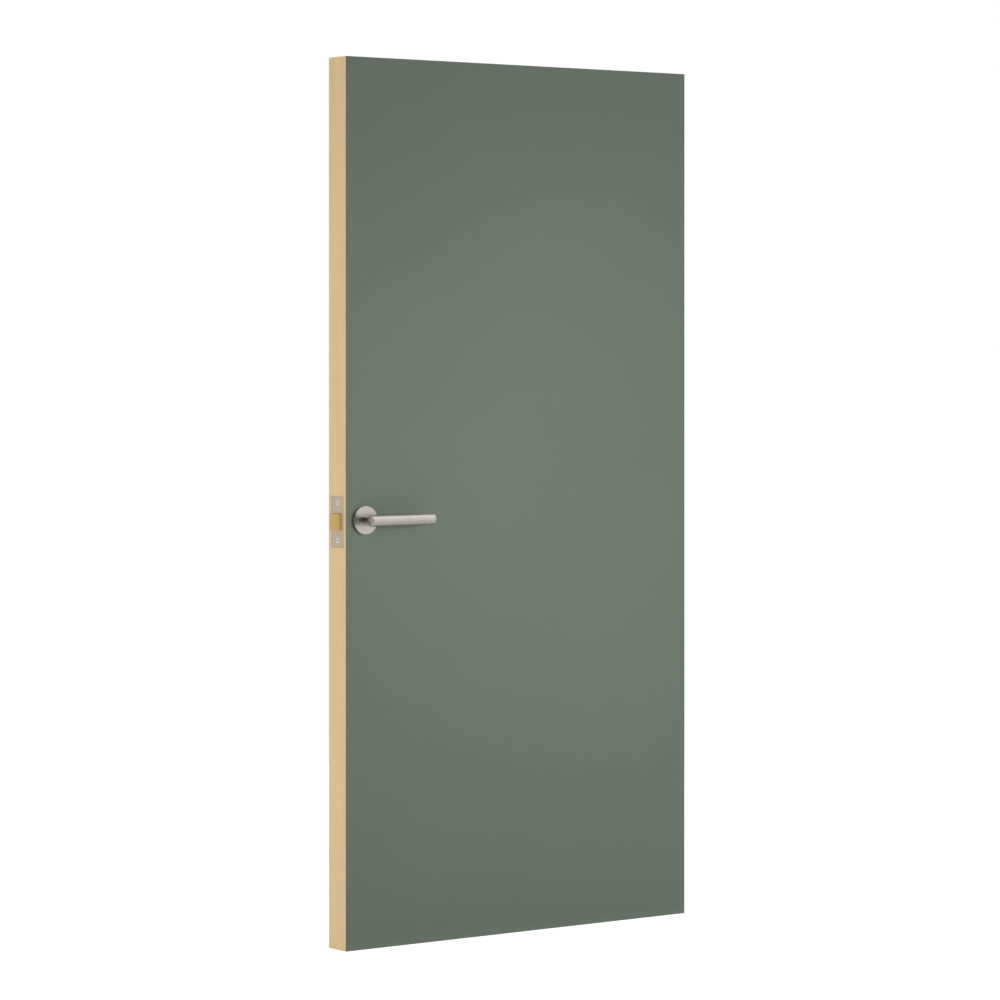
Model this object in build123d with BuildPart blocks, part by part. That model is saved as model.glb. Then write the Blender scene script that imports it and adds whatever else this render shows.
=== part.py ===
from build123d import *

import os
from math import cos, radians, sin, tan

# A flush laminate door leaf with its latch, lever pair and three lift-off hinge halves.
# Millimetres. +X runs across the leaf towards the hinge edge, +Y through it from front to back, +Z up.
# The origin is on the outer face of the lower hinge's plate, at that hinge's mid-height and halfway
# through the leaf.

# Leaf
leaf_height = 1972.0
leaf_width = 959.0
leaf_thickness = 68.0
laminate_thickness = 1.0
laminate_bevel = 0.5
skin_thickness = 4.0
lipping_thickness = 4.0
lock_stile_width = 95.0
hinge_stile_width = 60.0
rail_height = 70.0

# Latch, with its centre line a little under the spindle
lever_height = 948.5
latch_drop = 3.5
backset = 48.5
faceplate_height = 113.0
faceplate_width = 50.0
faceplate_thickness = 3.0
faceplate_edge_chamfer = 0.4
faceplate_screw_spacing = 83.0
faceplate_screw_hole = 6.5
faceplate_screw_head = 12.0
bolt_height = 36.0
bolt_width = 34.0
bolt_throw = 9.4
bolt_nose = 8.0
bolt_seat = 22.0
case_wall = 3.0
case_behind_spindle = 18.0
slide_clearance = 0.3
mortise_clearance = 0.5
recess_clearance = 0.2

# Follower, which the spindle turns and which draws the bolt in by a cross pin
lever_travel = 44.0
hub_radius = 8.5
arm_width = 5.0
arm_thickness = 9.0
strap_thickness = 4.0
cross_pin_radius = 1.5
drive_clearance = 0.1

# Lever pair
spindle_size = 8.0
spindle_clearance = 0.1
spindle_hole_radius = 10.0
socket_depth = 22.0
rose_radius = 31.5
rose_thickness = 8.0
rose_edge_chamfer = 1.0
neck_radius = 9.75
neck_clearance = 0.25
neck_face_gap = 0.5
grip_radius = 12.7
grip_standoff = 32.0
grip_overhang = 10.5
grip_reach = 158.5
grip_edge_chamfer = 1.2
grub_hole_radius = 3.0
grub_hole_from_rose = 7.0

# Hinges
hinge_inset = 230.0
hinge_height = 120.0
hinge_plate_width = 45.0
hinge_plate_thickness = 3.0
hinge_corner_radius = 10.0
hinge_screw_hole = 5.5
hinge_screw_head = 10.4
hinge_screw_count = 4
hinge_screw_margin = 15.0
hinge_column_inset = 13.0
hinge_column_spacing = 19.0
knuckle_radius = 10.0
knuckle_face_gap = 1.0
knuckle_top_chamfer = 1.5
strap_relief = 0.4
knuckle_bearing_gap = 1.0
pin_radius = 5.0
pin_clearance = 0.05
pin_depth = 50.0
pin_lead_in = 1.0
drill_point_angle = 118.0
door_joint_gap = 4.0

# Places that follow from those sizes
half = leaf_thickness / 2
foot_z = -hinge_inset
lever_z = foot_z + lever_height
latch_z = lever_z - latch_drop
lock_x = -leaf_width
spindle_x = lock_x + backset
framing_thickness = leaf_thickness - 2 * (laminate_thickness + skin_thickness)
lipping_depth = leaf_thickness - 2 * laminate_thickness
inner_low_x = lock_x + lipping_thickness
inner_high_x = -lipping_thickness
core_low_x = inner_low_x + lock_stile_width
core_high_x = inner_high_x - hinge_stile_width
hinge_heights = {
    "lower_hinge": 0.0,
    "middle_hinge": leaf_height / 2 - hinge_inset,
    "upper_hinge": leaf_height - 2 * hinge_inset,
}

case_inner_height = bolt_height + 2 * slide_clearance
case_inner_width = bolt_width + 2 * slide_clearance
case_height = case_inner_height + 2 * case_wall
case_width = case_inner_width + 2 * case_wall
case_depth = backset - faceplate_thickness + case_behind_spindle
grip_y = -(half + rose_thickness + grip_standoff)

# Seen through the leaf from the front, and along it from the lock edge
front = Plane(origin=(spindle_x, -half, lever_z), x_dir=(1, 0, 0), z_dir=(0, -1, 0))
lock_edge = Plane(origin=(lock_x, 0, latch_z), x_dir=(0, -1, 0), z_dir=(-1, 0, 0))
follower_side = Plane(origin=(spindle_x, 0, lever_z), x_dir=(1, 0, 0), z_dir=(0, -1, 0))
lean = radians(lever_travel / 2)
arm_side = Plane(origin=(spindle_x, 0, lever_z), x_dir=(cos(lean), 0, sin(lean)), z_dir=(0, -1, 0))


def slab(low, high):
    """A square-edged board between two corners."""
    with BuildPart() as board:
        with BuildSketch(Plane.XY.offset(low[2])):
            with Locations(((low[0] + high[0]) / 2, (low[1] + high[1]) / 2)):
                Rectangle(high[0] - low[0], high[1] - low[1])
        extrude(amount=high[2] - low[2])
    return board.part


def hinge_recess(centre_z):
    """The space that one hinge plate is let into, cut through the back face of the leaf."""
    plate_outer_y = half - hinge_plate_width
    with BuildPart() as recess:
        with BuildSketch(Plane.YZ.offset(-hinge_plate_thickness)) as outline:
            with Locations((half - hinge_plate_width / 2, centre_z)):
                Rectangle(hinge_plate_width, hinge_height)
            rounded = outline.vertices().filter_by_position(Axis.Y, plate_outer_y - 1, plate_outer_y + 1)
            fillet(rounded, hinge_corner_radius)
            offset(amount=recess_clearance)
        extrude(amount=2 * hinge_plate_thickness)
    return recess.part


def cut_spindle_hole():
    """The round hole that the spindle turns in, through whichever board is being made."""
    with Locations(follower_side):
        Cylinder(spindle_hole_radius, 2 * leaf_thickness, mode=Mode.SUBTRACT)


# Facing sheets, which run over the lippings and are trimmed with a fine bevel
with BuildPart() as front_laminate:
    add(slab((lock_x, -half, foot_z), (0, laminate_thickness - half, foot_z + leaf_height)))
    chamfer(front_laminate.faces().sort_by(Axis.Y)[0].edges().filter_by(Axis.Z), laminate_bevel)
    cut_spindle_hole()

with BuildPart() as back_laminate:
    add(slab((lock_x, half - laminate_thickness, foot_z), (0, half, foot_z + leaf_height)))
    chamfer(back_laminate.faces().sort_by(Axis.Y)[-1].edges().filter_by(Axis.Z), laminate_bevel)
    cut_spindle_hole()
    for hinge_z in hinge_heights.values():
        add(hinge_recess(hinge_z), mode=Mode.SUBTRACT)

# Skin boards under them, between the lippings
skin_outer = half - laminate_thickness
skin_inner = skin_outer - skin_thickness

with BuildPart() as front_skin_board:
    add(slab((inner_low_x, -skin_outer, foot_z), (inner_high_x, -skin_inner, foot_z + leaf_height)))
    cut_spindle_hole()

with BuildPart() as back_skin_board:
    mirror(front_skin_board.part, about=Plane.XZ)

# Timber framing and the board that fills it
framing = framing_thickness / 2
head_z = foot_z + leaf_height


def case_block(clearance):
    """The outside of the latch case, from the back of the faceplate inwards."""
    with BuildPart() as block:
        with BuildSketch(lock_edge.offset(-faceplate_thickness)):
            Rectangle(case_width + 2 * clearance, case_height + 2 * clearance)
        extrude(amount=-(case_depth + clearance))
    return block.part


with BuildPart() as lock_stile:
    add(slab((inner_low_x, -framing, foot_z), (core_low_x, framing, head_z)))
    add(case_block(mortise_clearance), mode=Mode.SUBTRACT)
    cut_spindle_hole()

hinge_stile = slab((core_high_x, -framing, foot_z), (inner_high_x, framing, head_z))
bottom_rail = slab((core_low_x, -framing, foot_z), (core_high_x, framing, foot_z + rail_height))
top_rail = slab((core_low_x, -framing, head_z - rail_height), (core_high_x, framing, head_z))
core_board = slab(
    (core_low_x, -framing, foot_z + rail_height), (core_high_x, framing, head_z - rail_height)
)

# Lippings on the two long edges
with BuildPart() as lock_edge_lipping:
    add(slab((lock_x, -lipping_depth / 2, foot_z), (inner_low_x, lipping_depth / 2, head_z)))
    with BuildSketch(lock_edge):
        Rectangle(faceplate_width + 2 * recess_clearance, faceplate_height + 2 * recess_clearance)
    extrude(amount=-faceplate_thickness, mode=Mode.SUBTRACT)
    add(case_block(mortise_clearance), mode=Mode.SUBTRACT)

with BuildPart() as hinge_edge_lipping:
    add(slab((inner_high_x, -lipping_depth / 2, foot_z), (0, lipping_depth / 2, head_z)))
    for hinge_z in hinge_heights.values():
        add(hinge_recess(hinge_z), mode=Mode.SUBTRACT)

# Latch faceplate, flush with the lock edge
with BuildPart() as latch_faceplate:
    with BuildSketch(lock_edge):
        Rectangle(faceplate_width, faceplate_height)
        Rectangle(case_inner_width, case_inner_height, mode=Mode.SUBTRACT)
    extrude(amount=-faceplate_thickness)
    chamfer(latch_faceplate.faces().sort_by(Axis.X)[0].outer_wire().edges(), faceplate_edge_chamfer)
    with Locations(lock_edge):
        with GridLocations(0, faceplate_screw_spacing, 1, 2):
            CounterSinkHole(
                faceplate_screw_hole / 2,
                faceplate_screw_head / 2,
                depth=faceplate_thickness,
                counter_sink_angle=90,
            )

# Latch case: a sleeve round the bolt, closed behind the spindle
with BuildPart() as latch_case:
    add(case_block(0))
    with BuildSketch(lock_edge.offset(-faceplate_thickness)):
        Rectangle(case_inner_width, case_inner_height)
    extrude(amount=-(case_depth - case_wall), mode=Mode.SUBTRACT)
    with Locations(follower_side):
        Cylinder(hub_radius + slide_clearance, 2 * case_width, mode=Mode.SUBTRACT)

# The arm turns through the lever's travel while it draws the cross pin straight back by the throw
arm_face_to_pin = arm_width / 2 + cross_pin_radius
cross_pin_z = bolt_throw / (2 * tan(lean))
cross_pin_x = arm_face_to_pin / cos(lean) - bolt_throw / 2 + drive_clearance
arm_length = cross_pin_z / cos(lean) + arm_face_to_pin * tan(lean)

# Latch bolt: its nose is flat on the back side and curved on the front, its two straps carry a cross pin
strap_y = arm_thickness / 2 + slide_clearance + strap_thickness / 2
strap_end_x = cross_pin_x + cross_pin_radius

with BuildPart() as latch_bolt:
    with BuildSketch(Plane.XY.offset(latch_z - bolt_height / 2)):
        with BuildLine():
            back_corner = (lock_x - bolt_throw, bolt_width / 2)
            nose_corner = (lock_x - bolt_throw, bolt_width / 2 - bolt_nose)
            front_corner = (lock_x, -bolt_width / 2)
            FilletPolyline(
                (lock_x + bolt_seat, -bolt_width / 2),
                (lock_x + bolt_seat, bolt_width / 2),
                back_corner,
                radius=1.0,
            )
            Line(back_corner, nose_corner)
            TangentArc(nose_corner, front_corner, tangent=(0, -1))
            Line(front_corner, (lock_x + bolt_seat, -bolt_width / 2))
        make_face()
    extrude(amount=bolt_height)
    for side in (-1, 1):
        with BuildSketch(Plane.XZ.offset(-side * strap_y)):
            with Locations(((lock_x + bolt_seat + spindle_x + strap_end_x) / 2, lever_z + cross_pin_z)):
                Rectangle(spindle_x + strap_end_x - lock_x - bolt_seat, 2 * cross_pin_radius)
        extrude(amount=strap_thickness / 2, both=True)
    with Locations(follower_side):
        with Locations((cross_pin_x, cross_pin_z)):
            Cylinder(cross_pin_radius, 2 * strap_y)

# Follower: a hub through the case with an arm that leans towards the lock edge at rest
with BuildPart() as latch_follower:
    with Locations(follower_side):
        Cylinder(hub_radius, case_width)
    with BuildSketch(arm_side):
        with Locations((0, arm_length / 2)):
            Rectangle(arm_width, arm_length)
    extrude(amount=arm_thickness / 2, both=True)
    with BuildSketch(follower_side):
        Rectangle(spindle_size + 2 * spindle_clearance, spindle_size + 2 * spindle_clearance)
    extrude(amount=case_width, both=True, mode=Mode.SUBTRACT)

with BuildPart() as spindle:
    with BuildSketch(follower_side):
        Rectangle(spindle_size, spindle_size)
    extrude(amount=half + neck_face_gap + socket_depth, both=True)

# Front rose, neck and grip
with BuildPart() as front_rose:
    with BuildSketch(front):
        Circle(rose_radius)
        Circle(neck_radius + neck_clearance, mode=Mode.SUBTRACT)
    extrude(amount=rose_thickness)
    rim = front_rose.faces().sort_by(Axis.Y)[0].edges().sort_by(SortBy.RADIUS)[-1]
    chamfer(rim, rose_edge_chamfer)

with BuildPart() as front_lever_grip:
    with BuildSketch(Plane.YZ.offset(spindle_x - grip_overhang)):
        with Locations((grip_y, lever_z)):
            Circle(grip_radius)
    extrude(amount=grip_overhang + grip_reach)
    chamfer(front_lever_grip.edges().filter_by(GeomType.CIRCLE), grip_edge_chamfer)

with BuildPart() as front_lever_neck:
    with BuildSketch(front.offset(neck_face_gap)):
        Circle(neck_radius)
    extrude(amount=rose_thickness + grip_standoff - neck_face_gap)
    add(front_lever_grip.part, mode=Mode.SUBTRACT)
    with BuildSketch(front.offset(neck_face_gap)):
        Rectangle(spindle_size + 2 * spindle_clearance, spindle_size + 2 * spindle_clearance)
    extrude(amount=socket_depth + spindle_clearance, mode=Mode.SUBTRACT)
    with BuildSketch(Plane.XY.offset(lever_z)):
        with Locations((spindle_x, -(half + rose_thickness + grub_hole_from_rose))):
            Circle(grub_hole_radius)
    extrude(amount=-neck_radius, mode=Mode.SUBTRACT)

# The same on the back face
with BuildPart() as back_rose:
    mirror(front_rose.part, about=Plane.XZ)

with BuildPart() as back_lever_grip:
    mirror(front_lever_grip.part, about=Plane.XZ)

with BuildPart() as back_lever_neck:
    mirror(front_lever_neck.part, about=Plane.XZ)


def hinge_half(centre_z):
    """The leaf's half of a lift-off hinge: a plate let into the edge, and a knuckle over the pin."""
    knuckle_y = half + knuckle_face_gap + knuckle_radius
    knuckle_z = centre_z + knuckle_bearing_gap
    plate_outer_y = half - hinge_plate_width
    knuckle_plane = Plane(origin=(door_joint_gap / 2, knuckle_y, knuckle_z))
    bore_plane = Plane(origin=knuckle_plane.origin, x_dir=(1, 0, 0), z_dir=(0, -1, 0))
    bore_radius = pin_radius + pin_clearance
    with BuildPart() as hinge:
        with BuildSketch(Plane.YZ.offset(-hinge_plate_thickness)) as outline:
            with Locations((half - hinge_plate_width / 2, centre_z)):
                Rectangle(hinge_plate_width, hinge_height)
            rounded = outline.vertices().filter_by_position(Axis.Y, plate_outer_y - 1, plate_outer_y + 1)
            fillet(rounded, hinge_corner_radius)
        extrude(amount=hinge_plate_thickness)
        with BuildSketch(Plane.YZ.offset(-hinge_plate_thickness)):
            with Locations((half, knuckle_z)):
                knuckle_length = centre_z + hinge_height / 2 - knuckle_z
                Rectangle(knuckle_y - half, knuckle_length, align=(Align.MIN, Align.MIN))
        extrude(amount=hinge_plate_thickness - strap_relief)
        with BuildSketch(knuckle_plane):
            Circle(knuckle_radius)
        extrude(amount=knuckle_length)
        cap_edges = hinge.edges().filter_by(GeomType.CIRCLE).filter_by_position(
            Axis.Y, knuckle_y - knuckle_radius, knuckle_y + knuckle_radius
        )
        chamfer(cap_edges.sort_by(Axis.Z)[-1], knuckle_top_chamfer)
        with BuildSketch(bore_plane):
            with BuildLine():
                Polyline(
                    (0, 0),
                    (bore_radius + pin_lead_in, 0),
                    (bore_radius, pin_lead_in),
                    (bore_radius, pin_depth),
                    (0, pin_depth + bore_radius / tan(radians(drill_point_angle / 2))),
                    close=True,
                )
            make_face()
        revolve(axis=Axis(knuckle_plane.origin, (0, 0, 1)), mode=Mode.SUBTRACT)
        with Locations(Plane.YZ):
            for i in range(hinge_screw_count):
                pitch = (hinge_height - 2 * hinge_screw_margin) / (hinge_screw_count - 1)
                column = hinge_column_inset + hinge_column_spacing * (i % 2)
                screw_z = centre_z - hinge_height / 2 + hinge_screw_margin + i * pitch
                with Locations((half - column, screw_z)):
                    CounterSinkHole(
                        hinge_screw_hole / 2,
                        hinge_screw_head / 2,
                        depth=hinge_plate_thickness,
                        counter_sink_angle=90,
                    )
    return hinge.part


pieces = {
    "front_laminate": front_laminate.part,
    "back_laminate": back_laminate.part,
    "front_skin_board": front_skin_board.part,
    "back_skin_board": back_skin_board.part,
    "lock_stile": lock_stile.part,
    "hinge_stile": hinge_stile,
    "top_rail": top_rail,
    "bottom_rail": bottom_rail,
    "core_board": core_board,
    "lock_edge_lipping": lock_edge_lipping.part,
    "hinge_edge_lipping": hinge_edge_lipping.part,
    "latch_faceplate": latch_faceplate.part,
    "latch_case": latch_case.part,
    "latch_bolt": latch_bolt.part,
    "latch_follower": latch_follower.part,
    "spindle": spindle.part,
    "front_rose": front_rose.part,
    "front_lever_neck": front_lever_neck.part,
    "front_lever_grip": front_lever_grip.part,
    "back_rose": back_rose.part,
    "back_lever_neck": back_lever_neck.part,
    "back_lever_grip": back_lever_grip.part,
}
for hinge_name, hinge_z in hinge_heights.items():
    pieces[hinge_name] = hinge_half(hinge_z)

os.makedirs("parts", exist_ok=True)
for piece_name, piece in pieces.items():
    piece.label = piece_name
    export_step(piece, f"parts/{piece_name}.step")
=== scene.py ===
import math

import bmesh
import bpy
from bpy.props import FloatProperty, FloatVectorProperty, PointerProperty
from bpy.types import NodeSocket, Operator, Panel, PropertyGroup
from mathutils import Matrix, Vector


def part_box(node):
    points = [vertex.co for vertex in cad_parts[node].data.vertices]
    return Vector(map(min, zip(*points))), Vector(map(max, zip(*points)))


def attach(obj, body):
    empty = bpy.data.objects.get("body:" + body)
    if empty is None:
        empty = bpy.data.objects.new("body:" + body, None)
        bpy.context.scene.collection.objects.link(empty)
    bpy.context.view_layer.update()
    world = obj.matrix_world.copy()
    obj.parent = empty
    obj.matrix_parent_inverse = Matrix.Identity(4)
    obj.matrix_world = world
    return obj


bl_info = {
    "name": "Laminate Interior Door",
    "version": (1, 0, 0),
    "blender": (4, 5, 0),
    "location": "3D View > Sidebar > Door",
    "description": "Finishes a flush laminate door leaf, its latch, lever pair and hinge halves",
    "category": "Object",
}

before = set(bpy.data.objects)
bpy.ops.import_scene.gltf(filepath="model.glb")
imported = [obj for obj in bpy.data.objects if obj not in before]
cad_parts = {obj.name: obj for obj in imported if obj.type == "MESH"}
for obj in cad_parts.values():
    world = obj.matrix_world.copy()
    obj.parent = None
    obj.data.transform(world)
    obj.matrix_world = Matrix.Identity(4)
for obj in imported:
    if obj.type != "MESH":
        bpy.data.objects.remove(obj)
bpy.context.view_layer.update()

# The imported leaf, in metres. The levers turn about a line along Y through the middle of the front rose.
ROSE_LOW, ROSE_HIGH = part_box("front_rose")
SPINDLE = Vector(((ROSE_LOW.x + ROSE_HIGH.x) / 2, 0.0, (ROSE_LOW.z + ROSE_HIGH.z) / 2))
LEAF_LOW, LEAF_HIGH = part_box("front_laminate")
FRONT_Y = LEAF_LOW.y
BACK_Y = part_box("back_laminate")[1].y
FOOT_Z, HEAD_Z = LEAF_LOW.z, LEAF_HIGH.z
LOCK_X, HINGE_X = LEAF_LOW.x, LEAF_HIGH.x
MIDDLE = Vector(((LOCK_X + HINGE_X) / 2, 0, (FOOT_Z + HEAD_Z) / 2))
PLATE_LOW, PLATE_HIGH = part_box("latch_faceplate")
PLATE_Z = (PLATE_LOW.z + PLATE_HIGH.z) / 2
HINGES = ("lower_hinge", "middle_hinge", "upper_hinge")

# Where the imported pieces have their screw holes, in metres. The hinges' columns count from the back face.
PLATE_SCREW_PITCH = 0.083
HINGE_SCREW_COUNT = 4
HINGE_SCREW_MARGIN = 0.015
HINGE_COLUMNS = (0.013, 0.032)
GRUB_FROM_ROSE = 0.007

# Every screw: how many segments go round it, and how deep its rim is in metres
ROUND_STEPS = 48
RIM_DEPTH = 0.0003

# Wood screw: the cross recess as shares of the head's radius, and tapers as shares of the width above
RECESS_REACH = 0.56
RECESS_HALF_WIDTH = 0.12
RECESS_DEPTH = 0.3
RECESS_TAPER = 0.5
SHANK_TAPER = 0.95
POINT_TAPER = 0.12

# Grub screw: the socket's reach as a share of the radius, its depth as a share of the length, the width
# of its floor as a share of its mouth, and how much wider the screw is below its rim
SOCKET_REACH = 0.55
SOCKET_DEPTH = 0.5
SOCKET_TAPER = 0.94
GRUB_SPREAD = 1.08

# How far round each screw stopped when it was driven home, in radians
PLATE_SCREW_TURNS = (0.35, 1.1)
HINGE_SCREW_TURN = 0.4
HINGE_SCREW_TURN_STEP = 0.9
GRUB_SCREW_TURN = 0.2

# Directions, and the angle from which an edge stays sharp
TO_LOCK_SIDE = Vector((-1, 0, 0))
TO_HINGE_SIDE = Vector((1, 0, 0))
UP = Vector((0, 0, 1))
DOWN = Vector((0, 0, -1))
SHARP_ANGLE = math.radians(32)

# Finishes: the depth in metres of the green sheet over its brown core, and the stretch of a metal's
# hairlines, which run along the axis that is stretched least
DECOR_DEPTH = 0.00022
ALONG_X = (12, 2600, 2600)
ALONG_Z = (2600, 2600, 12)
ROUNDING_SAMPLES = 6

# Stage, in metres, but for the camera's sensor in millimetres
SENSOR_WIDTH = 36.0
FLOOR_WIDTH = 120.0
CARD_LIFT = 0.01
DARK_CARD_DISTANCE = 3.6

# How white the floor is in the lamps' light, and how strong its own glow is where the camera sees it
WHITE = (1, 1, 1, 1)
FLOOR_WHITE = (0.85, 0.85, 0.85, 1)
FLOOR_GLOW = 1.52
SHARE_OF_GLOW = 0.6


# Sizes and colours that a user would change


def colour_setting(name, description, default):
    """A colour with its three channels from 0 to 1."""
    return FloatVectorProperty(
        name=name, description=description, subtype="COLOR", size=3, default=default, min=0, max=1,
    )


def length_setting(name, description, default):
    """A length in metres."""
    return FloatProperty(
        name=name, description=description, subtype="DISTANCE", unit="LENGTH", default=default, precision=5,
    )


class FinishSettings(PropertyGroup):
    """Colours of the leaf and its hardware."""

    laminate: colour_setting("Laminate", "Grey-green of the facing sheets", (0.131, 0.164, 0.129))
    laminate_core: colour_setting(
        "Laminate core", "Brown paper core at the sheets' trimmed edges", (0.075, 0.05, 0.035),
    )
    lipping: colour_setting("Lipping", "Tan of the two long edges", (0.64, 0.475, 0.258))
    fibreboard: colour_setting("Fibreboard", "Skin boards at the bare top and foot", (0.235, 0.14, 0.075))
    timber: colour_setting("Timber", "Stiles and rails", (0.58, 0.37, 0.19))
    core: colour_setting("Core", "Particle core", (0.42, 0.3, 0.16))
    steel: colour_setting("Satin steel", "Roses, necks, grips and hinges", (0.6, 0.56, 0.515))
    plate: colour_setting("Faceplate", "Warm steel of the latch faceplate", (0.48, 0.4, 0.3))
    zinc: colour_setting("Zinc plating", "Latch case, follower and spindle", (0.5, 0.51, 0.52))
    screw: colour_setting("Screws", "Bright steel of the countersunk screws", (0.68, 0.65, 0.58))
    brass: colour_setting("Brass", "Latch bolt", (0.565, 0.395, 0.142))


class PlateScrewSettings(PropertyGroup):
    """Sizes of the faceplate's screws."""

    head: length_setting("Head", "Radius of the countersunk head", 0.0058)
    shank: length_setting("Shank", "Radius under the head", 0.003)
    length: length_setting("Length", "From the face of the head to the point", 0.028)
    sunk: length_setting("Sunk", "How far the head lies below the plate's face", 0.0002)


class HingeScrewSettings(PropertyGroup):
    """Sizes of the hinge halves' screws."""

    head: length_setting("Head", "Radius of the countersunk head", 0.005)
    shank: length_setting("Shank", "Radius under the head", 0.0025)
    length: length_setting("Length", "From the face of the head to the point", 0.032)
    sunk: length_setting("Sunk", "How far the head lies below the plate's face", 0.00015)


class GrubScrewSettings(PropertyGroup):
    """Sizes of the grub screws that hold the levers."""

    radius: length_setting("Radius", "Radius of the outer end", 0.00285)
    length: length_setting("Length", "From the rim to the inner end, which bites into the spindle", 0.0055)
    sunk: length_setting("Sunk", "How far the outer end lies inside the neck", 0.0006)


class StageSettings(PropertyGroup):
    """Camera and light."""

    azimuth: FloatProperty(
        name="Azimuth", description="Direction the camera looks in, from straight at the front face",
        subtype="ANGLE", unit="ROTATION", default=math.radians(36.29),
    )
    distance: length_setting("Distance", "From the camera to the lock edge, along the view", 8.354)
    offset: length_setting("Offset", "How far left of the view's axis the lock edge stands", 0.339)
    eye_height: length_setting("Eye height", "Camera above the foot of the leaf", 1.3384)
    lens: FloatProperty(
        name="Lens", description="Focal length", subtype="DISTANCE_CAMERA", default=136.63,
    )
    drop: FloatProperty(
        name="Vertical shift", description="Share of the picture's width that the frame is shifted down",
        subtype="FACTOR", default=0.1563,
    )
    ambient: FloatProperty(
        name="Ambient", description="Strength of the even studio light", default=0.2, min=0,
    )


# Node helpers


def fill(tree, made, **values):
    """Sets a node up. Small-letter names are its properties, and the others are its inputs, set or linked."""
    for name, value in values.items():
        if name.islower():
            setattr(made, name, value)
            continue
        socket = made.inputs[name.replace("_", " ")]
        if isinstance(value, NodeSocket):
            tree.links.new(value, socket)
        else:
            socket.default_value = value


def node(tree, kind, **values):
    """A new node of one kind, set up as fill does."""
    made = tree.nodes.new(kind)
    fill(tree, made, **values)
    return made


def new_material(name):
    """A material with its node tree and its surface shader."""
    material = bpy.data.materials.new(name)
    material.use_nodes = True
    tree = material.node_tree
    return material, tree, tree.nodes["Principled BSDF"]


def place(tree, scale=(1, 1, 1), turn=(0, 0, 0), shift=(0, 0, 0)):
    """The piece's own coordinates, stretched, turned and moved."""
    coordinates = node(tree, "ShaderNodeTexCoord").outputs["Object"]
    mapping = node(tree, "ShaderNodeMapping", Vector=coordinates, Location=shift, Rotation=turn, Scale=scale)
    return mapping.outputs["Vector"]


def noise(tree, vector, scale, detail=2.0, roughness=0.5):
    """Noise between 0 and 1, in patches of about one over the scale in metres."""
    made = node(tree, "ShaderNodeTexNoise", Vector=vector, Scale=scale, Detail=detail, Roughness=roughness)
    return made.outputs["Fac"]


def spread(tree, value, low, high, from_low=0.3, from_high=0.7):
    """A value mapped from one range to another."""
    made = node(
        tree, "ShaderNodeMapRange", Value=value,
        From_Min=from_low, From_Max=from_high, To_Min=low, To_Max=high,
    )
    return made.outputs["Result"]


def maths(tree, operation, *values):
    """One operation on plain numbers or on other nodes' outputs."""
    made = node(tree, "ShaderNodeMath", operation=operation)
    for socket, value in zip(made.inputs, values):
        if isinstance(value, NodeSocket):
            tree.links.new(value, socket)
        else:
            socket.default_value = value
    return made.outputs["Value"]


def tone(tree, colour, factor):
    """A colour made lighter or darker by a factor about 1."""
    made = node(tree, "ShaderNodeVectorMath", operation="SCALE", Vector=tuple(colour), Scale=factor)
    return made.outputs["Vector"]


def blend_colours(tree, factor, first, second):
    """One colour where the factor is 0 and another where it is 1."""
    return node(tree, "ShaderNodeMix", data_type="RGBA", Factor=factor, A=first, B=second).outputs["Result"]


def blend_shaders(tree, factor, first, second):
    """One shader where the factor is 0 and another where it is 1."""
    made = node(tree, "ShaderNodeMixShader", Fac=factor)
    tree.links.new(first, made.inputs[1])
    tree.links.new(second, made.inputs[2])
    return made.outputs["Shader"]


def seen_as_it_is(tree):
    """1 for what the camera sees, straight on, in gloss or through glass, and 0 for light on the object."""
    rays = node(tree, "ShaderNodeLightPath").outputs
    straight_or_gloss = maths(tree, "MAXIMUM", rays["Is Camera Ray"], rays["Is Glossy Ray"])
    return maths(tree, "MAXIMUM", straight_or_gloss, rays["Is Transmission Ray"])


def raise_surface(tree, shader, height, depth, strength):
    """Bump of a depth in metres. Returns its node."""
    bump = node(tree, "ShaderNodeBump", Height=height, Distance=depth, Strength=strength)
    fill(tree, shader, Normal=bump.outputs["Normal"])
    return bump


# Finishes


def laminate_finish(colours):
    """Satin decorative laminate: a fine suede texture, with the brown core at its trimmed edges."""
    material, tree, shader = new_material("satin_laminate")
    flat = place(tree)
    cloud = spread(tree, noise(tree, flat, scale=1.6, detail=3.0), 0.97, 1.03)
    fleck = spread(tree, noise(tree, flat, scale=850.0, detail=3.0, roughness=0.6), 0.965, 1.035)
    decor = tone(tree, colours.laminate, maths(tree, "MULTIPLY", cloud, fleck))
    across = node(tree, "ShaderNodeSeparateXYZ", Vector=flat).outputs["Y"]
    off_middle = maths(tree, "ABSOLUTE", across)
    on_face = maths(tree, "GREATER_THAN", off_middle, BACK_Y - DECOR_DEPTH)
    core_fibre = spread(tree, noise(tree, place(tree, scale=(30, 900, 30)), scale=40.0), 0.8, 1.2)
    core = tone(tree, colours.laminate_core, core_fibre)
    patch = noise(tree, flat, scale=9.0, detail=4.0)
    fill(
        tree, shader, Base_Color=blend_colours(tree, on_face, core, decor),
        Roughness=spread(tree, patch, 0.4, 0.47),
    )
    suede = maths(tree, "ADD", noise(tree, flat, scale=1500.0), noise(tree, flat, scale=420.0))
    raise_surface(tree, shader, suede, depth=0.00003, strength=0.35)
    return material


def lipping_finish(colours):
    """Smooth tan lipping with a faint upright grain."""
    material, tree, shader = new_material("tan_lipping")
    grain = noise(tree, place(tree, scale=(1, 1, 0.02)), scale=520.0, detail=4.0, roughness=0.6)
    figure = noise(tree, place(tree, scale=(1, 1, 0.06)), scale=60.0, detail=3.0)
    lightness = maths(tree, "MULTIPLY", spread(tree, grain, 0.95, 1.05), spread(tree, figure, 0.97, 1.03))
    fill(
        tree, shader, Base_Color=tone(tree, colours.lipping, lightness),
        Roughness=spread(tree, grain, 0.44, 0.56),
    )
    raise_surface(tree, shader, grain, depth=0.00005, strength=0.4)
    return material


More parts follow.
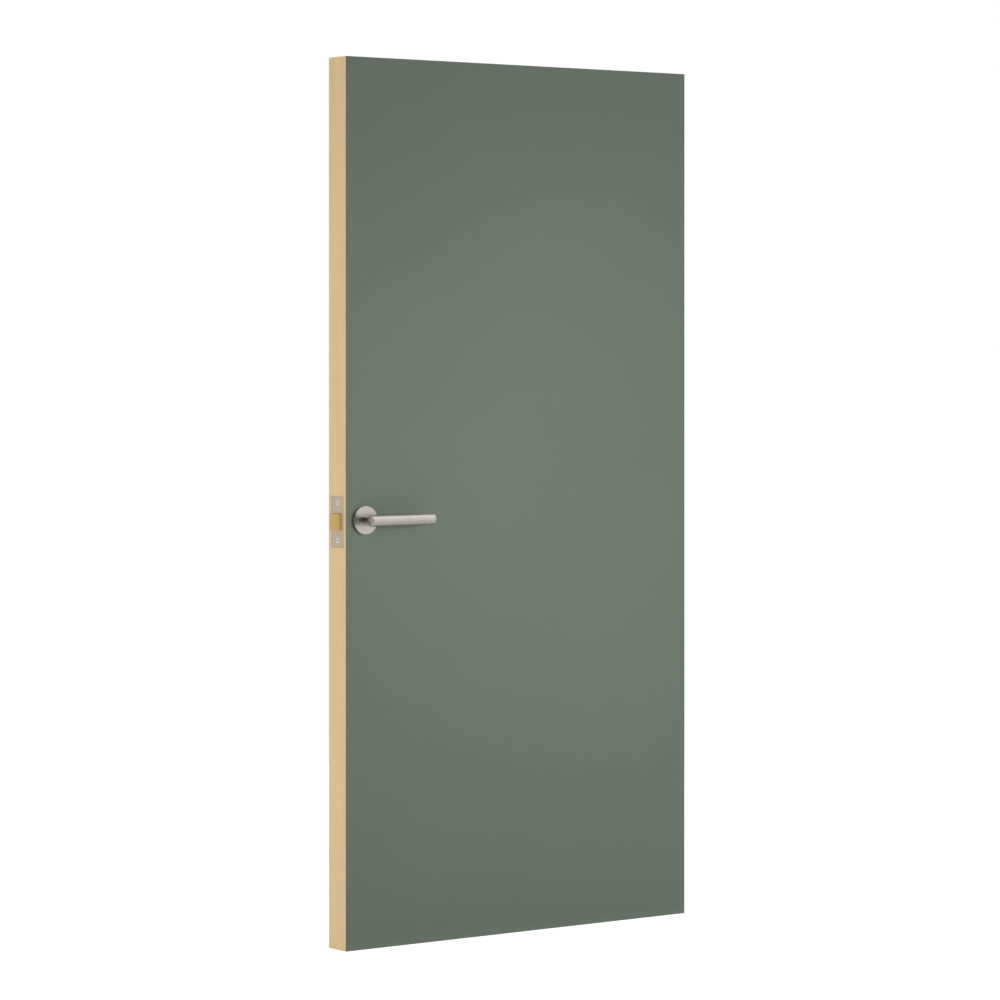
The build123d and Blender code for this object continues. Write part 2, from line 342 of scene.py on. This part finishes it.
def fibreboard_finish(colours):
    """Dense fibreboard, seen on edge."""
    material, tree, shader = new_material("fibreboard")
    fibre = noise(tree, place(tree), scale=1400.0, detail=4.0, roughness=0.65)
    lightness = spread(tree, fibre, 0.8, 1.2)
    fill(tree, shader, Base_Color=tone(tree, colours.fibreboard, lightness), Roughness=0.85)
    raise_surface(tree, shader, fibre, depth=0.0001, strength=0.6)
    return material


def timber_finish(colours, name, turn):
    """Sawn softwood, with growth rings about its own length."""
    material, tree, shader = new_material(name)
    along = place(tree, scale=(1, 1, 0.05), turn=turn, shift=(0.3, 0.11, 0))
    rings = node(
        tree, "ShaderNodeTexWave", wave_type="RINGS", rings_direction="Z", Vector=along,
        Scale=42.0, Distortion=3.0, Detail=3.0, Detail_Scale=1.5,
    )
    ring_tone = spread(tree, rings.outputs["Fac"], 0.8, 1.08, from_low=0.0, from_high=1.0)
    fibre = noise(tree, along, scale=900.0, detail=3.0)
    lightness = maths(tree, "MULTIPLY", ring_tone, spread(tree, fibre, 0.9, 1.1))
    fill(tree, shader, Base_Color=tone(tree, colours.timber, lightness), Roughness=0.75)
    raise_surface(tree, shader, fibre, depth=0.00015, strength=0.6)
    return material


def core_finish(colours):
    """Light particle core."""
    material, tree, shader = new_material("particle_core")
    flattened = place(tree, scale=(0.5, 1, 1))
    chips = node(tree, "ShaderNodeTexVoronoi", Vector=flattened, Scale=320.0, Randomness=1.0)
    chip_edge = chips.outputs["Distance"]
    lightness = spread(tree, chip_edge, 1.1, 0.75, from_low=0.0, from_high=0.6)
    fill(tree, shader, Base_Color=tone(tree, colours.core, lightness), Roughness=0.9)
    raise_surface(tree, shader, chip_edge, depth=0.0004, strength=0.7)
    return material


def metal_finish(name, colour, stretch, roughness, rounding=0.0):
    """Satin metal with fine hairlines. Its edges look rounded to a radius in metres."""
    material, tree, shader = new_material(name)
    hairline = noise(tree, place(tree, scale=stretch), scale=1.0, detail=3.0, roughness=0.65)
    smudge = noise(tree, place(tree), scale=45.0, detail=3.0)
    lightness = maths(tree, "MULTIPLY", spread(tree, hairline, 0.95, 1.05), spread(tree, smudge, 0.97, 1.03))
    fill(
        tree, shader, Metallic=1.0, Base_Color=tone(tree, colour, lightness),
        Roughness=spread(tree, hairline, roughness - 0.04, roughness + 0.05),
    )
    relief = raise_surface(tree, shader, hairline, depth=0.00002, strength=0.35)
    if rounding:
        rounded = node(tree, "ShaderNodeBevel", samples=ROUNDING_SAMPLES, Radius=rounding)
        fill(tree, relief, Normal=rounded.outputs["Normal"])
    return material


def screw_finish(colour):
    """Turned steel, a little rough."""
    material, tree, shader = new_material("screw_steel")
    turning = noise(tree, place(tree), scale=1900.0, detail=3.0, roughness=0.6)
    fill(
        tree, shader, Metallic=1.0, Base_Color=tone(tree, colour, spread(tree, turning, 0.9, 1.08)),
        Roughness=spread(tree, turning, 0.24, 0.4),
    )
    raise_surface(tree, shader, turning, depth=0.00003, strength=0.4)
    return material


def dress(material, *names):
    """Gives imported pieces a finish."""
    for name in names:
        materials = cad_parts[name].data.materials
        materials.clear()
        materials.append(material)


# Fasteners


def cross_outline(reach, half_width):
    """Corners of a cross recess, in order round the axis."""
    arm = [(reach, -half_width), (reach, half_width), (half_width, half_width)]
    quarter = math.radians(90)
    return [Matrix.Rotation(quarter * k, 3, "Z") @ Vector((x, y, 0)) for k in range(4) for x, y in arm]


def hexagon_outline(reach):
    """Corners of a six-sided socket."""
    sixth = math.radians(60)
    return [Matrix.Rotation(sixth * k, 3, "Z") @ Vector((reach, 0, 0)) for k in range(6)]


def draw_out(shape, loop, width, drop):
    """Carries an edge loop on: scaled to a width and lowered. Returns the new loop."""
    made = bmesh.ops.extrude_edge_only(shape, edges=loop)["geom"]
    corners = [each for each in made if isinstance(each, bmesh.types.BMVert)]
    bmesh.ops.scale(shape, verts=corners, vec=(width, width, 1))
    bmesh.ops.translate(shape, verts=corners, vec=(0, 0, -drop))
    return [each for each in made if isinstance(each, bmesh.types.BMEdge)]


def put_in_order(shape):
    """Sorts corners and faces by their place, so that each run of the script writes them alike."""
    places = (
        (shape.verts, lambda vert: vert.co[:]),
        (shape.faces, lambda face: face.calc_center_median()[:]),
    )
    for elements, place_of in places:
        for rank, element in enumerate(sorted(elements, key=place_of)):
            element.index = rank
        elements.sort()


def turned_screw(radius, outline, depth, taper, steps):
    """A screw that points down from its recessed face; steps are (width, drop) pairs down its side."""
    screw = bmesh.new()
    bmesh.ops.create_circle(screw, cap_ends=False, radius=radius, segments=ROUND_STEPS)
    side = screw.edges[:]
    corners = [screw.verts.new(corner) for corner in outline]
    recess = [screw.edges.new((corners[k - 1], corners[k])) for k in range(len(corners))]
    bmesh.ops.triangle_fill(screw, use_beauty=True, edges=side + recess)
    floor = draw_out(screw, recess, taper, depth)
    bmesh.ops.triangle_fill(screw, use_beauty=True, edges=floor)
    for width, drop in steps:
        side = draw_out(screw, side, width, drop)
    bmesh.ops.triangle_fill(screw, use_beauty=True, edges=side)
    bmesh.ops.recalc_face_normals(screw, faces=screw.faces)
    put_in_order(screw)
    return screw


def set_in(shape, screw, at, facing, turn):
    """Puts a screw in its place, its face outwards, as part of a larger shape."""
    upright = facing.to_track_quat("Z", "Y").to_matrix().to_4x4()
    where = Matrix.Translation(at) @ upright @ Matrix.Rotation(turn, 4, "Z")
    bmesh.ops.transform(screw, matrix=where, verts=screw.verts)
    held = bpy.data.meshes.new("held_screw")
    screw.to_mesh(held)
    screw.free()
    shape.from_mesh(held)
    bpy.data.meshes.remove(held)


def wood_screw(shape, size, at, facing, turn):
    """A countersunk wood screw with a cross recess, set in its hole."""
    head, shank = size.head, size.shank
    screw = turned_screw(
        head, cross_outline(RECESS_REACH * head, RECESS_HALF_WIDTH * head), RECESS_DEPTH * head, RECESS_TAPER,
        (
            (1.0, RIM_DEPTH),
            (shank / head, head - shank),
            (SHANK_TAPER, size.length - 2 * head),
            (POINT_TAPER, head),
        ),
    )
    set_in(shape, screw, at - facing * size.sunk, facing, turn)


def grub_screw(shape, size, at, facing, turn):
    """A headless screw with a six-sided socket, set in its hole."""
    screw = turned_screw(
        size.radius, hexagon_outline(SOCKET_REACH * size.radius), SOCKET_DEPTH * size.length, SOCKET_TAPER,
        ((GRUB_SPREAD, RIM_DEPTH), (1.0, size.length)),
    )
    set_in(shape, screw, at - facing * size.sunk, facing, turn)


def add_piece(name, shape, material, body):
    """Makes an object of a finished shape, smooth but for its edges, and lets it ride on a body."""
    mesh = bpy.data.meshes.new(name)
    shape.to_mesh(mesh)
    shape.free()
    mesh.shade_smooth()
    mesh.set_sharp_from_angle(angle=SHARP_ANGLE)
    mesh.materials.append(material)
    piece = bpy.data.objects.new(name, mesh)
    bpy.context.scene.collection.objects.link(piece)
    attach(piece, body)


# Stage


def add_camera(scene, settings):
    """The photograph's camera: level, with its frame shifted down. Returns the way that it looks."""
    lens = bpy.data.cameras.new("camera")
    lens.sensor_width = SENSOR_WIDTH
    lens.lens = settings.lens
    lens.shift_y = -settings.drop
    camera = bpy.data.objects.new("camera", lens)
    ahead = Vector((math.sin(settings.azimuth), math.cos(settings.azimuth), 0))
    right = Vector((math.cos(settings.azimuth), -math.sin(settings.azimuth), 0))
    near_edge = Vector((LOCK_X, FRONT_Y, FOOT_Z + settings.eye_height))
    camera.location = near_edge - ahead * settings.distance + right * settings.offset
    camera.rotation_euler = (math.radians(90), 0, -settings.azimuth)
    scene.collection.objects.link(camera)
    scene.camera = camera
    return ahead


def add_sheet(name, material, width, height, where):
    """A flat sheet that stands on the stage and is no part of the door."""
    shape = bmesh.new()
    bmesh.ops.create_grid(shape, x_segments=1, y_segments=1, size=0.5)
    bmesh.ops.scale(shape, verts=shape.verts, vec=(width, height, 1))
    bmesh.ops.transform(shape, matrix=where, verts=shape.verts)
    mesh = bpy.data.meshes.new(name)
    shape.to_mesh(mesh)
    shape.free()
    mesh.materials.append(material)
    sheet = bpy.data.objects.new(name, mesh)
    bpy.context.scene.collection.objects.link(sheet)
    return sheet


def add_floor():
    """White floor that keeps the leaf's soft shadow."""
    material, tree, shader = new_material("white_floor")
    fill(tree, shader, Base_Color=FLOOR_WHITE, Roughness=0.9)
    glow = node(tree, "ShaderNodeEmission", Strength=FLOOR_GLOW)
    glowing = maths(tree, "MULTIPLY", seen_as_it_is(tree), SHARE_OF_GLOW)
    surface = blend_shaders(tree, glowing, shader.outputs["BSDF"], glow.outputs["Emission"])
    fill(tree, tree.nodes["Material Output"], Surface=surface)
    add_sheet("floor", material, FLOOR_WIDTH, FLOOR_WIDTH, Matrix.Translation((0, 0, FOOT_Z)))


def add_studio_air(scene, ambient):
    """Even light from all round, which is plain white to look at."""
    world = bpy.data.worlds.new("studio")
    world.use_nodes = True
    tree = world.node_tree
    even = tree.nodes["Background"]
    fill(tree, even, Color=WHITE, Strength=ambient)
    backdrop = node(tree, "ShaderNodeBackground", Color=WHITE, Strength=1.0)
    surface = blend_shaders(
        tree, seen_as_it_is(tree), even.outputs["Background"], backdrop.outputs["Background"],
    )
    fill(tree, tree.nodes["World Output"], Surface=surface)
    scene.world = world


def softbox(name, from_middle, width, height, watts):
    """A rectangular lamp that shines at the middle of the leaf. Gloss and metal don't show it."""
    light = bpy.data.lights.new(name, "AREA")
    light.shape = "RECTANGLE"
    light.size = width
    light.size_y = height
    light.energy = watts
    lamp = bpy.data.objects.new(name, light)
    lamp.location = MIDDLE + Vector(from_middle)
    lamp.rotation_euler = (MIDDLE - lamp.location).to_track_quat("-Z", "Y").to_euler()
    lamp.visible_glossy = False
    bpy.context.scene.collection.objects.link(lamp)
    return lamp


def add_lamps():
    """The lamps round the leaf. The key lamp stands in the camera's view, so the camera doesn't show it."""
    key = softbox("key", (0.14, -1.68, 0.14), width=0.8, height=0.5, watts=17)
    key.visible_camera = False
    softbox("edge", (-3.6, -0.15, 0.2), width=1.6, height=2.4, watts=68)
    softbox("side", (3.6, 0.15, 0.2), width=1.6, height=2.4, watts=68)
    softbox("rear", (0.8, 3.4, 0.2), width=1.8, height=1.8, watts=55)
    softbox("top", (0, 0.25, 2.8), width=2.0, height=0.8, watts=24)


def reflector(name, shade, at, facing, width, height):
    """A grey card that only gloss and metal show, as in a photographer's studio."""
    material, tree, shader = new_material(name)
    glow = node(tree, "ShaderNodeEmission", Strength=shade)
    fill(tree, tree.nodes["Material Output"], Surface=glow.outputs["Emission"])
    tree.nodes.remove(shader)
    upright = facing.to_track_quat("Z", "Y").to_matrix().to_4x4()
    card = add_sheet(name, material, width, height, Matrix.Translation(at) @ upright)
    card.visible_camera = False
    card.visible_diffuse = False
    card.visible_shadow = False
    card.visible_transmission = False


def add_cards(ahead):
    """The cards that the steel shows: dark beside the camera, pale in front, to the right and above."""
    beside_camera = MIDDLE - ahead * DARK_CARD_DISTANCE + Vector((0.06, -0.27, 1.2))
    reflector("dark_card", 0.02, beside_camera, ahead, width=5.6, height=4.4)
    below_camera = Vector((-2.9, -2.4, FOOT_Z + CARD_LIFT))
    reflector("camera_floor_card", 0.3, below_camera, UP, width=3.0, height=4.4)
    before_leaf = Vector((MIDDLE.x + 1.6, -1.8, FOOT_Z + CARD_LIFT))
    reflector("floor_card", 0.66, before_leaf, UP, width=5.0, height=3.5)
    from_right = Vector((2.13, -2.9, 0))
    reflector("right_card", 0.9, MIDDLE + from_right, -from_right, width=4.0, height=1.6)
    from_above = Vector((1.8, -0.75, 2.25))
    reflector("bright_card", 1.3, SPINDLE + from_above, -from_above, width=2.4, height=1.6)


# Operators, one for each group of pieces and one for the stage


class DOOR_OT_facing_sheets(Operator):
    """Finish the two laminate sheets"""

    bl_idname = "door.facing_sheets"
    bl_label = "Facing sheets"

    def execute(self, context):
        dress(laminate_finish(context.scene.door_finish), "front_laminate", "back_laminate")
        return {"FINISHED"}


class DOOR_OT_edges(Operator):
    """Finish the lippings of the two long edges"""

    bl_idname = "door.edges"
    bl_label = "Edge lippings"

    def execute(self, context):
        dress(lipping_finish(context.scene.door_finish), "lock_edge_lipping", "hinge_edge_lipping")
        return {"FINISHED"}


class DOOR_OT_framing(Operator):
    """Finish the boards that show at the bare top and foot, and the core"""

    bl_idname = "door.framing"
    bl_label = "Framing and core"

    def execute(self, context):
        colours = context.scene.door_finish
        dress(fibreboard_finish(colours), "front_skin_board", "back_skin_board")
        upright = timber_finish(colours, "upright_timber", turn=(0, 0, 0))
        dress(upright, "lock_stile", "hinge_stile")
        lying = timber_finish(colours, "lying_timber", turn=(0, math.radians(90), 0))
        dress(lying, "top_rail", "bottom_rail")
        dress(core_finish(colours), "core_board")
        return {"FINISHED"}


class DOOR_OT_lever_pair(Operator):
    """Finish the roses, necks, grips and spindle"""

    bl_idname = "door.lever_pair"
    bl_label = "Lever pair"

    def execute(self, context):
        colours = context.scene.door_finish
        satin = metal_finish("satin_steel", colours.steel, ALONG_X, roughness=0.27, rounding=0.0004)
        dress(satin, "front_rose", "front_lever_neck", "back_rose", "back_lever_neck")
        brushed = metal_finish("brushed_grip_steel", colours.steel, ALONG_X, roughness=0.36, rounding=0.0008)
        dress(brushed, "front_lever_grip", "back_lever_grip")
        dress(metal_finish("zinc_plating", colours.zinc, ALONG_X, roughness=0.4), "spindle")
        return {"FINISHED"}


class DOOR_OT_latch(Operator):
    """Finish the faceplate, bolt, case and follower"""

    bl_idname = "door.latch"
    bl_label = "Latch"

    def execute(self, context):
        colours = context.scene.door_finish
        plate = metal_finish("faceplate_steel", colours.plate, ALONG_Z, roughness=0.36, rounding=0.0003)
        dress(plate, "latch_faceplate")
        brass = metal_finish("satin_brass", colours.brass, ALONG_Z, roughness=0.42, rounding=0.0005)
        dress(brass, "latch_bolt")
        zinc = metal_finish("zinc_plated_case", colours.zinc, ALONG_Z, roughness=0.42)
        dress(zinc, "latch_case", "latch_follower")
        return {"FINISHED"}


class DOOR_OT_hinges(Operator):
    """Finish the three hinge halves"""

    bl_idname = "door.hinges"
    bl_label = "Hinge halves"

    def execute(self, context):
        colours = context.scene.door_finish
        dress(metal_finish("hinge_steel", colours.steel, ALONG_Z, roughness=0.32, rounding=0.0004), *HINGES)
        return {"FINISHED"}


class DOOR_OT_screws(Operator):
    """Set the countersunk screws in the faceplate and hinge halves"""

    bl_idname = "door.screws"
    bl_label = "Countersunk screws"

    def execute(self, context):
        scene = context.scene
        steel = screw_finish(scene.door_finish.screw)
        shape = bmesh.new()
        for turn, side in zip(PLATE_SCREW_TURNS, (-1, 1)):
            at = Vector((LOCK_X, 0, PLATE_Z + side * PLATE_SCREW_PITCH / 2))
            wood_screw(shape, scene.door_plate_screw, at, TO_LOCK_SIDE, turn)
        add_piece("faceplate_screws", shape, steel, "door_leaf")
        for name in HINGES:
            low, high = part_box(name)
            pitch = (high.z - low.z - 2 * HINGE_SCREW_MARGIN) / (HINGE_SCREW_COUNT - 1)
            shape = bmesh.new()
            for k in range(HINGE_SCREW_COUNT):
                at = Vector((HINGE_X, BACK_Y - HINGE_COLUMNS[k % 2], low.z + HINGE_SCREW_MARGIN + k * pitch))
                turn = HINGE_SCREW_TURN + HINGE_SCREW_TURN_STEP * k + low.z
                wood_screw(shape, scene.door_hinge_screw, at, TO_HINGE_SIDE, turn)
            add_piece(f"{name}_screws", shape, steel, "door_leaf")
        return {"FINISHED"}


class DOOR_OT_grub_screws(Operator):
    """Set the grub screws that hold the levers on the spindle"""

    bl_idname = "door.grub_screws"
    bl_label = "Grub screws"

    def execute(self, context):
        scene = context.scene
        steel = screw_finish(scene.door_finish.zinc)
        for name, outwards, face in (("front", -1, 0), ("back", 1, 1)):
            rose_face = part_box(f"{name}_rose")[face].y
            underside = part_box(f"{name}_lever_neck")[0].z
            at = Vector((SPINDLE.x, rose_face + outwards * GRUB_FROM_ROSE, underside))
            shape = bmesh.new()
            grub_screw(shape, scene.door_grub_screw, at, DOWN, GRUB_SCREW_TURN)
            add_piece(f"{name}_grub_screw", shape, steel, "lever_set")
        return {"FINISHED"}


class DOOR_OT_stage(Operator):
    """Set up the camera, the floor and the studio light"""

    bl_idname = "door.stage"
    bl_label = "Stage"

    def execute(self, context):
        scene = context.scene
        scene.view_settings.view_transform = "Standard"
        ahead = add_camera(scene, scene.door_stage)
        add_floor()
        add_studio_air(scene, scene.door_stage.ambient)
        add_lamps()
        add_cards(ahead)
        return {"FINISHED"}


STEPS = (
    DOOR_OT_facing_sheets,
    DOOR_OT_edges,
    DOOR_OT_framing,
    DOOR_OT_lever_pair,
    DOOR_OT_latch,
    DOOR_OT_hinges,
    DOOR_OT_screws,
    DOOR_OT_grub_screws,
    DOOR_OT_stage,
)
SETTINGS = {
    "door_finish": FinishSettings,
    "door_plate_screw": PlateScrewSettings,
    "door_hinge_screw": HingeScrewSettings,
    "door_grub_screw": GrubScrewSettings,
    "door_stage": StageSettings,
}


class VIEW3D_PT_door(Panel):
    """Buttons for each group of pieces, with their sizes and colours"""

    bl_label = "Laminate door"
    bl_idname = "VIEW3D_PT_door"
    bl_space_type = "VIEW_3D"
    bl_region_type = "UI"
    bl_category = "Door"

    def draw(self, context):
        for step in STEPS:
            self.layout.operator(step.bl_idname)
        for group, kind in SETTINGS.items():
            column = self.layout.column()
            for name in kind.__annotations__:
                column.prop(getattr(context.scene, group), name)


CLASSES = (*SETTINGS.values(), *STEPS, VIEW3D_PT_door)


def register():
    """Adds the settings, the operators and the panel."""
    for each in CLASSES:
        bpy.utils.register_class(each)
    for group, kind in SETTINGS.items():
        setattr(bpy.types.Scene, group, PointerProperty(type=kind))


def unregister():
    """Takes them away again."""
    for group in SETTINGS:
        delattr(bpy.types.Scene, group)
    for each in reversed(CLASSES):
        bpy.utils.unregister_class(each)


def main():
    """Finishes the door, one group after another."""
    register()
    for step in STEPS:
        group, name = step.bl_idname.split(".")
        getattr(getattr(bpy.ops, group), name)()


if __name__ == "__main__":
    main()
